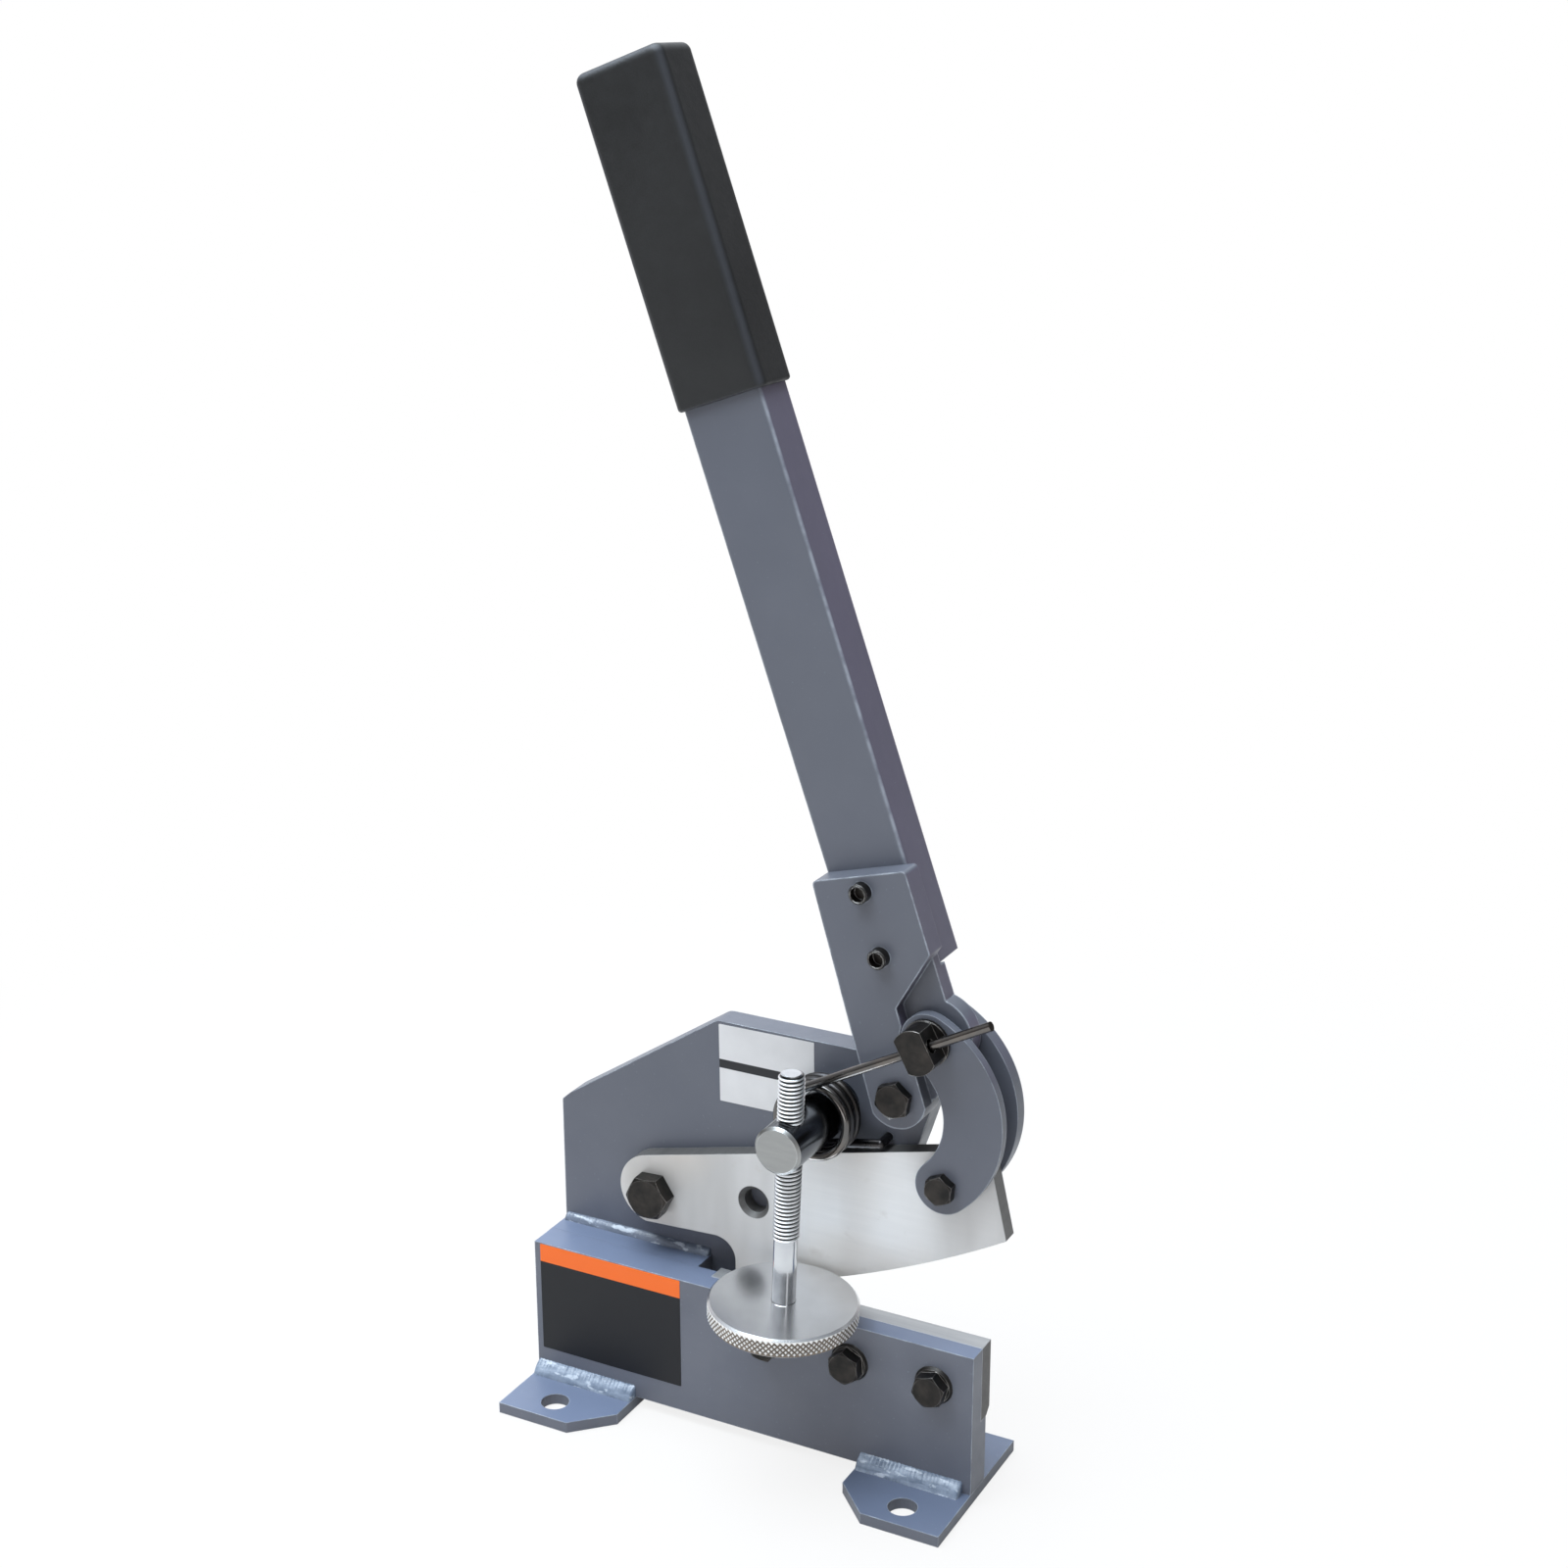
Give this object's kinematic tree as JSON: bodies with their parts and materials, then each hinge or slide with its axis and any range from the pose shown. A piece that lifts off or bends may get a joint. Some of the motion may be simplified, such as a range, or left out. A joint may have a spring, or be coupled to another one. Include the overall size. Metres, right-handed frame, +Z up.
{
  "type": "hand lever shear",
  "caption": "Bench-mounted hand lever shear with a compound linkage, a curved moving blade, a straight lower blade and a screw hold-down.",
  "frame": {"origin": "on the floor, at the centre of the four mounting holes in the feet", "axes": "+X right along the blades, +Y to the back, +Z up"},
  "size_m": [0.2175, 0.0975, 0.5769],
  "materials": {
    "paint": "satin blue-grey paint",
    "weld": "painted weld bead",
    "blade_steel": "ground",
    "black_steel": "black oxide",
    "spring_steel": "oiled spring steel",
    "chrome": "bright plated",
    "grip": "satin black"
  },
  "bodies": {
    "frame": {"base_plate": "paint", "spacer_block": "paint", "body_plate": "paint", "left_foot": "paint", "right_foot": "paint", "left_foot_weld": "weld", "right_foot_weld": "weld", "ledge_weld": "weld", "lower_blade": "blade_steel", "lower_blade_bolt_1": "black_steel", "lower_blade_bolt_2": "black_steel", "lower_blade_bolt_3": "black_steel", "blade_pivot_bolt": "black_steel", "blade_pivot_nut": "black_steel", "lever_pivot_bolt": "black_steel", "lever_pivot_nut": "black_steel", "hold_down_pin": "chrome", "spring_coil": "spring_steel"},
    "lever": {"lever_bracket": "paint", "handle_tube": "paint", "handle_grip": "grip", "upper_set_screw": "black_steel", "lower_set_screw": "black_steel"},
    "blade": {"moving_blade": "blade_steel"},
    "links": {"front_link": "paint", "rear_link": "paint", "link_washer": "black_steel", "link_bottom_bolt": "black_steel", "link_bottom_nut": "black_steel"},
    "link_pin": {"link_top_pin": "black_steel", "link_top_keeper": "black_steel"},
    "spring": {"spring_arm": "spring_steel"},
    "hold_down": {"hold_down_screw": "chrome", "hold_down_disc": "chrome"}
  },
  "joints": [
    {"name": "lever_pivot", "type": "hinge", "parent": "frame", "child": "lever", "pos_m": [0.0643, 0.012, 0.1707], "axis": [0, 1, 0], "range_deg": [0, 85]},
    {"name": "blade_pivot", "type": "hinge", "parent": "frame", "child": "blade", "pos_m": [-0.0544, 0.0148, 0.0973], "axis": [0, 1, 0], "range_deg": [0, 15.72]},
    {"name": "link_top_pivot", "type": "hinge", "parent": "lever", "child": "links", "pos_m": [0.07839, 0.0148, 0.1985], "axis": [0, 1, 0], "range_deg": [-71.91, 0]},
    {"name": "link_pin_pivot", "type": "hinge", "parent": "lever", "child": "link_pin", "pos_m": [0.07839, 0.0148, 0.1985], "axis": [0, 1, 0], "range_deg": [-46.66, 0]},
    {"name": "spring_swing", "type": "hinge", "parent": "frame", "child": "spring", "pos_m": [0.0304, 0, 0.1558], "axis": [0, 1, 0], "range_deg": [0, 38.34]},
    {"name": "hold_down_slide", "type": "slide", "parent": "frame", "child": "hold_down", "axis": [0.0401, 0, 0.9992], "range_m": [-0.0045, 0.03]}
  ],
  "couplings": [
    {"joint": "blade_pivot", "follows": "lever_pivot", "ratio": 0.185},
    {"joint": "link_top_pivot", "follows": "lever_pivot", "ratio": -0.846},
    {"joint": "link_pin_pivot", "follows": "lever_pivot", "ratio": -0.549},
    {"joint": "spring_swing", "follows": "lever_pivot", "ratio": 0.451}
  ]
}
